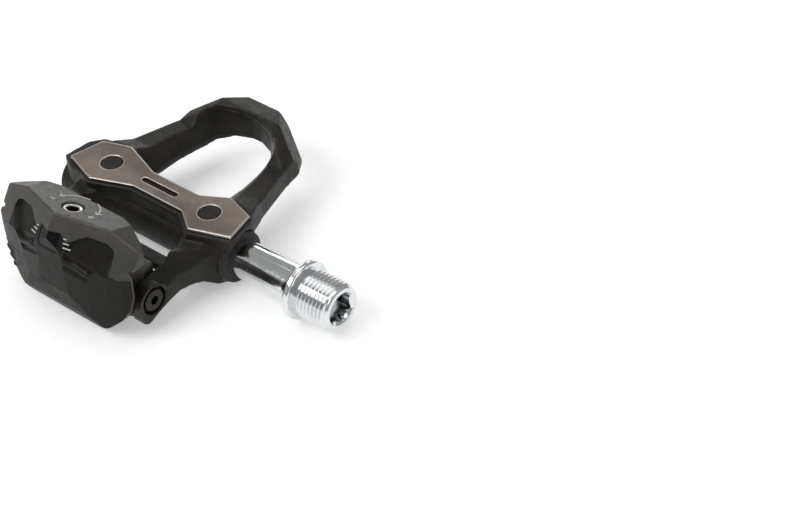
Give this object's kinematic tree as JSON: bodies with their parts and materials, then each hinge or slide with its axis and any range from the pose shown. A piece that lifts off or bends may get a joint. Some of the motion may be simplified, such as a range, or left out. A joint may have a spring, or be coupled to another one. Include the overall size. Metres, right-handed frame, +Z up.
{
  "type": "clipless pedal",
  "caption": "Left clipless road pedal: spindle on sealed bearings, composite body with toe loop and steel platform, sprung rear latch with adjustable release tension.",
  "frame": {"origin": "on the spindle's axis at the crank shoulder, the face that seats on the crank arm", "axes": "+X along the spindle out of the pedal towards the crank, +Y towards the toe of the shoe, +Z up out of the platform"},
  "size_m": [0.1013, 0.0865, 0.0341],
  "materials": {
    "composite_black": "satin moulded carbon-filled nylon",
    "latch_grey": "satin moulded nylon",
    "stainless": "brushed stainless sheet",
    "chromed_steel": "polished chrome-molybdenum steel",
    "bearing_steel": "ground bearing steel",
    "black_steel": "black oxide steel",
    "seal_rubber": "nitrile rubber",
    "cage_polymer": "bearing cage nylon",
    "bush_polymer": "graphite-filled bush polymer",
    "spring_steel": "oiled spring steel",
    "window_clear": "smoked clear plastic",
    "indicator_mark": "bright marker plastic"
  },
  "bodies": {
    "spindle": {"spindle": "chromed_steel", "ball_inner_race": "bearing_steel", "lock_nut": "bearing_steel"},
    "pedal": {"pedal_body": "composite_black", "platform_plate": "stainless", "plate_rivets": "black_steel", "barrel_band": "stainless", "needle_cup": "bearing_steel", "ball_outer_race": "bearing_steel", "shaft_seal": "seal_rubber", "end_cap": "composite_black", "cap_seal": "seal_rubber", "hinge_pin": "bearing_steel", "hinge_screws": "black_steel", "stop_pin": "black_steel", "torsion_spring_inboard": "spring_steel", "torsion_spring_outboard": "spring_steel"},
    "needle_set": {"bearing_needles": "bearing_steel", "needle_cage": "cage_polymer"},
    "ball_set": {"bearing_balls": "bearing_steel", "ball_cage": "cage_polymer"},
    "latch": {"rear_latch": "latch_grey", "tension_window": "window_clear", "hinge_bushes": "bush_polymer"},
    "adjuster_screw": {"tension_screw": "bearing_steel"},
    "adjuster_nut": {"tension_nut": "bearing_steel", "tension_indicator": "indicator_mark"}
  },
  "joints": [
    {"name": "pedal_spin", "type": "hinge", "parent": "spindle", "child": "pedal", "pos_m": [0, 0, 0], "axis": [1, 0, 0], "continuous": true},
    {"name": "needle_orbit", "type": "hinge", "parent": "spindle", "child": "needle_set", "pos_m": [0, 0, 0], "axis": [1, 0, 0], "continuous": true},
    {"name": "ball_orbit", "type": "hinge", "parent": "spindle", "child": "ball_set", "pos_m": [0, 0, 0], "axis": [1, 0, 0], "continuous": true},
    {"name": "latch_hinge", "type": "hinge", "parent": "pedal", "child": "latch", "pos_m": [-0.0548, -0.0291, 0.0016], "axis": [1, 0, 0], "range_deg": [0, 20], "stiffness_Nm_per_rad": 14, "springref_deg": -20, "deforming": ["torsion_spring_inboard", "torsion_spring_outboard"]},
    {"name": "tension_screw_turn", "type": "hinge", "parent": "latch", "child": "adjuster_screw", "pos_m": [-0.0548, -0.0311, 0.02297], "axis": [0, -0.3289, -0.9444], "range_deg": [0, 1440]},
    {"name": "tension_nut_slide", "type": "slide", "parent": "latch", "child": "adjuster_nut", "axis": [0, -0.3289, -0.9444], "range_m": [0, 0.0032], "deforming": ["torsion_spring_inboard", "torsion_spring_outboard"]}
  ],
  "couplings": [
    {"joint": "needle_orbit", "follows": "pedal_spin", "ratio": 0.57143},
    {"joint": "ball_orbit", "follows": "pedal_spin", "ratio": 0.62526},
    {"joint": "tension_nut_slide", "follows": "tension_screw_turn", "m_per_rad": 0.00012732}
  ]
}
